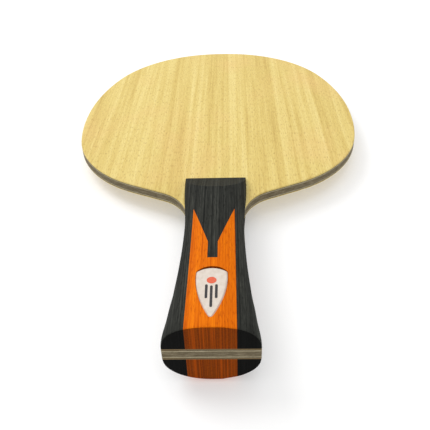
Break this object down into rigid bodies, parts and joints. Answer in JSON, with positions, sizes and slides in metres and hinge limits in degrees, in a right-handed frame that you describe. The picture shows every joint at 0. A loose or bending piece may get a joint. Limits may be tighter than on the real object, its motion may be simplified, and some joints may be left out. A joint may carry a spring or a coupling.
{
  "type": "table tennis blade",
  "caption": "Bare laminated table tennis blade with an egg-shaped head and a flared handle of dyed wood strips, with a small shield badge.",
  "frame": {"origin": "middle of the blade's overall box: on the centre line, in the middle plane of the core ply, halfway from butt to tip", "axes": "+X across the blade to the right seen from the front with the tip up, +Y along the blade from butt to tip, +Z out of the front face, the side with the badge"},
  "size_m": [0.15, 0.257, 0.0276],
  "materials": {
    "face_wood": "sanded pale yellow hardwood veneer, fine straight grain, matt",
    "inner_wood": "pale softwood veneer, sanded edge",
    "core_wood": "light porous core wood, sanded grey-brown edge",
    "fibre_weave": "thin woven carbon and aramid cloth set in glue, seen only at its edge",
    "dark_wood": "charcoal dyed and laminated wood, fine lengthwise grain, satin",
    "orange_wood": "bright orange dyed and laminated wood, fine lengthwise grain, satin",
    "badge_plastic": "off-white moulded plastic with a bevelled rim",
    "adhesive_film": "double-sided adhesive film, hidden under the badge"
  },
  "bodies": {
    "root": {"core_ply": "core_wood", "inner_ply_front": "inner_wood", "inner_ply_back": "inner_wood", "fibre_layer_front": "fibre_weave", "fibre_layer_back": "fibre_weave", "face_veneer_front": "face_wood", "face_veneer_back": "face_wood", "handle_left_strip_front": "dark_wood", "handle_right_strip_front": "dark_wood", "handle_yoke_inlay_front": "dark_wood", "handle_centre_strip_front": "orange_wood", "handle_left_strip_back": "dark_wood", "handle_right_strip_back": "dark_wood", "handle_yoke_inlay_back": "dark_wood", "handle_centre_strip_back": "orange_wood", "badge_plate": "badge_plastic", "badge_adhesive": "adhesive_film"}
  },
  "joints": []
}
